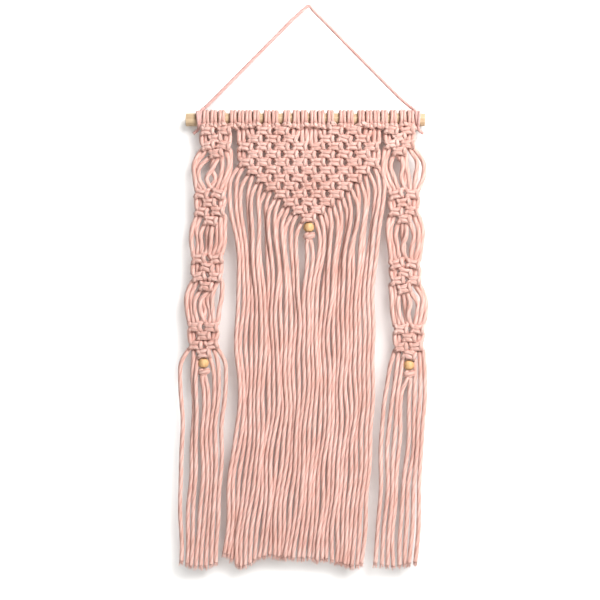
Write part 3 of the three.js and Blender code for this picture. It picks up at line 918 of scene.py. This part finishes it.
side_falls = {}
for side, panel, seed in (("left", LEFT, 31), ("right", RIGHT, 41)):
    starts = fringe_starts(side_routes[side], side)
    side_falls[side] = fall(starts, side_target(panel), panel["tips"], seed, 0.7)
print("fringe cords:", len(middle_falls) + sum(len(falls) for falls in side_falls.values()))

# %% [markdown]
# ## The beads' cords
# The two inner cords of the last knot go down through the bead. Below it one of them is wrapped
# round the other and tucked away, and that knot keeps the bead up.

# %% Routes through a bead and its stopper knot
STOPPER_REACH = 4.4
STOPPER_START = math.radians(150)
STOPPER_TURNS = 1.6
STOPPER_STEPS = 15


def bead_route(side, way):
    x, y, z = BEADS[side]
    below = z - BEAD_RADIUS
    through = [(x + way * 1.3, y, z + BEAD_RADIUS + 0.5), (x + way * 1.2, y, z),
               (x + way * 1.3, y, below - 0.4)]
    if way > 0:
        return [*through, (x + 0.4, y, below - 4.5), (x + 1.2, y, below - STOPPER_HEIGHT)]
    wraps = []
    for step in range(STOPPER_STEPS + 1):
        turn = STOPPER_START + step / STOPPER_STEPS * STOPPER_TURNS * 2 * math.pi
        tilt = 1.3 * math.cos(turn)
        wraps.append((x + 0.6 + (STOPPER_REACH + 0.3) * math.cos(turn),
                      y - STOPPER_REACH * 0.75 * math.sin(turn),
                      below - 2.2 - 3.2 * step / STOPPER_STEPS + tilt))
    return [*through, *wraps, (x - 1.0, y - 1.5, below - STOPPER_HEIGHT)]


# The shares by which a cord is thinner over the rod and fatter in the knots, and its radius and
# its reach sideways in a bead's bore
THIN_OVER_ROD = 0.23
FAT_IN_KNOTS = 0.08
BORE_CORD_RADIUS = 1.15
BORE_REACH = 2.6


def cord_radius(bead_place, knots_end):
    """The cord is stretched thin over the rod and squeezed inside a bead. The knots are a
    little fatter than the free cords, as the cotton is pushed together there."""
    def radius(path, along):
        full = CORD_RADIUS * (1 + 0.025 * np.sin(along / 23) + 0.02 * np.sin(along / 7.3 + 1))
        full *= 1 - THIN_OVER_ROD * np.clip((path[:, 2] - ROD_Z) / 5 + 1.2, 0, 1)
        full *= 1 + FAT_IN_KNOTS * np.clip((path[:, 2] - knots_end) / 6, 0, 1)
        if bead_place is None:
            return full
        away = np.abs(path[:, 2] - bead_place[2])
        sideways = np.abs(path[:, 0] - bead_place[0])
        inside = (away < BEAD_RADIUS + 0.3) & (sideways < BORE_REACH)
        return np.where(inside, BORE_CORD_RADIUS, full)
    return radius


# %% [markdown]
# ## Lay the cords
# Each cord is laid once along its whole route and then cut at its last knot. So the twist runs on
# from the knots into the fringe, and each half still goes to the piece that it belongs to.

# %% Lay and cut every cord
KNOT_STEP = 1.5
FRINGE_STEPS = 2
PHASE_STEP = 1.9


def thin_cord(cord, every):
    """Keeps one ring in a few, where the cord runs nearly straight."""
    kept = sorted({*range(0, len(cord["along"]), every), len(cord["along"]) - 1})
    return {key: value[kept] for key, value in cord.items()}


def lay_panel(routes, falls, side):
    """Gives the cords of the panel, of the knot under its bead and of its fringe."""
    panel_cords, stopper_cords, fringe_cords = [], [], []
    ways = dict(zip(BEAD_STRANDS[side], (-1, 1)))
    for strand, points in enumerate(routes):
        holds_bead = strand in ways
        middle = bead_route(side, ways[strand]) if holds_bead else []
        radius = cord_radius(BEADS[side] if holds_bead else None, points[-1][2])
        cord = lay_cord([*points, *middle, *falls[strand]], KNOT_STEP, radius,
                        phase=strand * PHASE_STEP)
        heights = cord["path"][:, 2]
        upper, lower = cut_cord(cord, np.flatnonzero(heights < points[-1][2] + 0.4)[0])
        panel_cords.append(upper)
        if holds_bead:
            knot_end = middle[-1][2] + 0.3
            stopper, lower = cut_cord(lower, np.flatnonzero(lower["path"][:, 2] < knot_end)[0])
            stopper_cords.append(stopper)
        fringe_cords.append(thin_cord(lower, FRINGE_STEPS))
    return panel_cords, stopper_cords, fringe_cords


laid = {"middle": lay_panel(middle_routes, middle_falls, "middle")}
for side in ("left", "right"):
    laid[side] = lay_panel(side_routes[side], side_falls[side], side)
cotton_length = 0.0
for side, (panel_cords, stopper_cords, fringe_cords) in laid.items():
    place(cord_mesh(f"knotted_panel_{side}", panel_cords), cotton, "cotton", f"panel_{side}")
    place(cord_mesh(f"bead_knot_{side}", stopper_cords), cotton, "cotton", f"stopper_{side}")
    place(cord_mesh(f"fringe_cords_{side}", fringe_cords), cotton, "cotton", f"fringe_{side}")
    for cord in fringe_cords:
        cotton_length += cord["along"][-1] * MM
print("soft cotton cord in all:", round(cotton_length, 2), "m")

# %% [markdown]
# ## Frayed tips
# The cords are cut and not bound, so their plies open a little at the tip. Each tip gets ten thin
# tapering strands that leave the cord's end and spread, and three threads finer still. They are
# the same tubes as the cords, only thin and short, so the same helpers make them.

# %% Frayed tips
TUFTS = 10
THREADS = 3
TUFT_PITCH = 12


def taper(radius, loss):
    """A radius that shrinks evenly to the end, where this share of it is lost."""
    return lambda path, along: radius * (1 - loss * along / along[-1])


def tip_tufts(cord, draw):
    end = cord["path"][-1]
    down = end - cord["path"][-2]
    down /= np.linalg.norm(down)
    tufts = []
    for number in range(TUFTS):
        turn = number / TUFTS * 2 * math.pi + draw.uniform(-0.3, 0.3)
        out = np.array([math.cos(turn), math.sin(turn), 0])
        long = draw.uniform(1.6, 5.6)
        spread = draw.uniform(-0.2, 1.5)
        start = end + out * 1.3 - down * 3
        points = [start, end + out * 1.6, end + out * (1.6 + spread * 0.5) + down * long * 0.5,
                  end + out * (1.6 + spread) + down * long]
        tufts.append(lay_cord(points, 1.4, taper(0.85, 0.65), pitch=TUFT_PITCH))
    return tufts


def loose_threads(cord, draw):
    end = cord["path"][-1]
    threads = []
    for _ in range(THREADS):
        out = np.array([draw.uniform(-1, 1), draw.uniform(-1, 1), 0])
        reach = draw.uniform(3.5, 7)
        points = [end + out, end + out * 1.4 + (0, 0, -reach * 0.5),
                  end + out * 2.4 + (0, 0, -reach)]
        threads.append(lay_cord(points, 1.6, taper(0.16, 0.6), pitch=TUFT_PITCH))
    return threads


tip_draw = np.random.default_rng(5)
for side, (_, _, fringe_cords) in laid.items():
    tufts = [tuft for cord in fringe_cords for tuft in tip_tufts(cord, tip_draw)]
    tufts += [thread for cord in fringe_cords for thread in loose_threads(cord, tip_draw)]
    place(cord_mesh(f"frayed_tips_{side}", tufts), cotton, "cotton")

# %% [markdown]
# ## The wooden pieces
# The rod is a dowel: a cylinder whose sawn ends are lightly rounded. A bead is a sphere with its
# poles cut away and the two rims joined by a bore, so the cords can really pass through it.


# %% Helpers for modelling by hand
def deselect_all():
    if bpy.context.object and bpy.context.object.mode != "OBJECT":
        bpy.ops.object.mode_set(mode="OBJECT")
    bpy.ops.object.select_all(action="DESELECT")


def select_vertices(piece, test):
    bpy.ops.mesh.select_all(action="DESELECT")
    bpy.ops.object.mode_set(mode="OBJECT")
    for vertex in piece.data.vertices:
        vertex.select = test(vertex.co)
    bpy.ops.object.mode_set(mode="EDIT")


def finish_piece(piece, name):
    bpy.ops.mesh.select_all(action="SELECT")
    bpy.ops.mesh.normals_make_consistent(inside=False)
    bpy.ops.object.mode_set(mode="OBJECT")
    bpy.ops.object.transform_apply(location=True, rotation=True, scale=True)
    bpy.ops.object.shade_smooth_by_angle(angle=math.radians(35))
    piece.name = name
    piece.data.name = name


# %% The rod
deselect_all()
rod_middle = (rod_low + rod_high) / 2 * MM
rod_half = (rod_high[0] - rod_low[0]) / 2 * MM
bpy.ops.mesh.primitive_cylinder_add(vertices=64, radius=ROD_RADIUS * MM, depth=2 * rod_half,
                                    location=rod_middle, rotation=(0, math.radians(90), 0))
rod = bpy.context.object
bpy.ops.object.mode_set(mode="EDIT")
bpy.ops.mesh.select_mode(type="FACE")
bpy.ops.mesh.select_all(action="DESELECT")
bpy.ops.object.mode_set(mode="OBJECT")
for face in rod.data.polygons:
    face.select = abs(face.normal.z) > 0.9
bpy.ops.object.mode_set(mode="EDIT")
bpy.ops.mesh.bevel(offset=0.8 * MM, segments=3, profile=0.6, affect="EDGES")
finish_piece(rod, "wooden_rod")
place(rod, rod_wood, "rod_wood", "rod")


# %% The beads
# The rim is the ring of points at 30 degrees from the pole: the first angle cuts away all that
# lies inside it, and the second one picks it out
CUT_ANGLE, RIM_ANGLE = math.radians(29), math.radians(31)


def make_bead(side):
    deselect_all()
    bpy.ops.mesh.primitive_uv_sphere_add(segments=48, ring_count=24, radius=BEAD_RADIUS * MM,
                                         location=BEADS[side] * MM)
    bead = bpy.context.object
    bpy.ops.object.mode_set(mode="EDIT")
    bpy.ops.mesh.select_mode(type="VERT")
    rim = BEAD_RADIUS * MM * math.cos(CUT_ANGLE)
    select_vertices(bead, lambda spot: abs(spot.z) > rim)
    bpy.ops.mesh.delete(type="VERT")
    edge = BEAD_RADIUS * MM * math.cos(RIM_ANGLE)
    select_vertices(bead, lambda spot: abs(spot.z) > edge)
    bpy.ops.mesh.select_mode(type="EDGE")
    bpy.ops.mesh.bridge_edge_loops()
    bpy.ops.mesh.select_mode(type="VERT")
    select_vertices(bead, lambda spot: abs(spot.z) > edge)
    bpy.ops.mesh.select_mode(type="EDGE")
    bpy.ops.mesh.bevel(offset=0.35 * MM, segments=2, profile=0.5, affect="EDGES")
    finish_piece(bead, f"turned_bead_{side}")
    return bead


for side in BEADS:
    place(make_bead(side), bead_wood, "bead_wood", f"bead_{side}")

# %% [markdown]
# ## Wall, floor and light
# The hanging is shown against a plain wall, a hair's breadth behind the rod, over a pale floor
# out of sight. A large soft lamp at the upper right gives the cords their shape and throws the
# soft shadows to the lower left, and a weak one from the left fills them a little. A third lamp
# is linked to the wall alone: it washes the wall pale, so the shadows on it stay soft and light,
# and it doesn't flatten the cords. The wall is clear from behind, and a lamp shines through it
# there, so that the back can be looked at too. For that lamp only the pieces cast a shadow.


# %% Wall and floor
def stage_plane(name, size, location, rotation, colour, see_through_back=False):
    deselect_all()
    bpy.ops.mesh.primitive_plane_add(size=size, location=location, rotation=rotation)
    plane = bpy.context.object
    plane.name = name
    material = bpy.data.materials.new(name)
    material.use_nodes = True
    shader = material.node_tree.nodes["Principled BSDF"]
    shader.inputs["Base Color"].default_value = colour
    shader.inputs["Roughness"].default_value = 0.9
    if see_through_back:
        tree = material.node_tree
        side = tree.nodes.new("ShaderNodeNewGeometry")
        clear = tree.nodes.new("ShaderNodeBsdfTransparent")
        mix = tree.nodes.new("ShaderNodeMixShader")
        tree.links.new(side.outputs["Backfacing"], mix.inputs[0])
        tree.links.new(shader.outputs[0], mix.inputs[1])
        tree.links.new(clear.outputs[0], mix.inputs[2])
        tree.links.new(mix.outputs[0], tree.nodes["Material Output"].inputs["Surface"])
    plane.data.materials.append(material)
    plane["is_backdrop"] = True
    return plane


WALL_Y = 13.5 * MM
FLOOR_Z = -0.95
STAGE = 6
wall = stage_plane("wall", STAGE, (0, WALL_Y, FLOOR_Z + STAGE / 2), (math.radians(90), 0, 0),
                   (0.52, 0.52, 0.517, 1), see_through_back=True)
stage_plane("floor", STAGE, (0, WALL_Y - STAGE / 2, FLOOR_Z), (0, 0, 0), (0.84, 0.84, 0.83, 1))


# %% Lamps
AIM = (0, 0, -0.33)


def soft_lamp(name, location, size, power):
    data = bpy.data.lights.new(name, "AREA")
    data.shape = "DISK"
    data.size = size
    data.energy = power
    lamp = bpy.data.objects.new(name, data)
    lamp.location = location
    heading = np.array(AIM) - np.array(location)
    flat = math.hypot(heading[0], heading[1])
    lamp.rotation_euler = (math.atan2(flat, -heading[2]), 0, math.atan2(-heading[0], heading[1]))
    bpy.context.scene.collection.objects.link(lamp)
    return lamp


soft_lamp("key", (0.85, -1.6, 0.75), size=1.3, power=56)
soft_lamp("fill", (-1.6, -1.8, 0.1), size=1.6, power=2)
behind = soft_lamp("behind", (0.3, 1.9, 0.4), size=1.2, power=34)

wall_only = bpy.data.collections.new("lit_by_wash")
wall_only.objects.link(wall)
wash = soft_lamp("wall wash", (-0.2, -2.2, 0.1), size=2.6, power=60)
wash.light_linking.receiver_collection = wall_only

pieces_only = bpy.data.collections.new("casts_shadow_behind")
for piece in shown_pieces():
    pieces_only.objects.link(piece)
behind.light_linking.blocker_collection = pieces_only

# %% World and exposure
DIM_ROOM, PALE_ROOM = 0.1, 0.95
world = bpy.data.worlds.new("studio")
bpy.context.scene.world = world
world.use_nodes = True
backdrop = world.node_tree.nodes["Background"]
backdrop.inputs["Color"].default_value = (1, 0.985, 0.97, 1)
# The room's own light is dim, but a camera that looks past the wall sees a pale room
rays = add_node(world.node_tree, "ShaderNodeLightPath")
brightness = remap(world.node_tree, rays.outputs["Is Camera Ray"], to_min=DIM_ROOM, to_max=PALE_ROOM)
world.node_tree.links.new(brightness, backdrop.inputs["Strength"])
view = bpy.context.scene.view_settings
view.view_transform = "Standard"
view.exposure = 0.3
view.gamma = 0.7
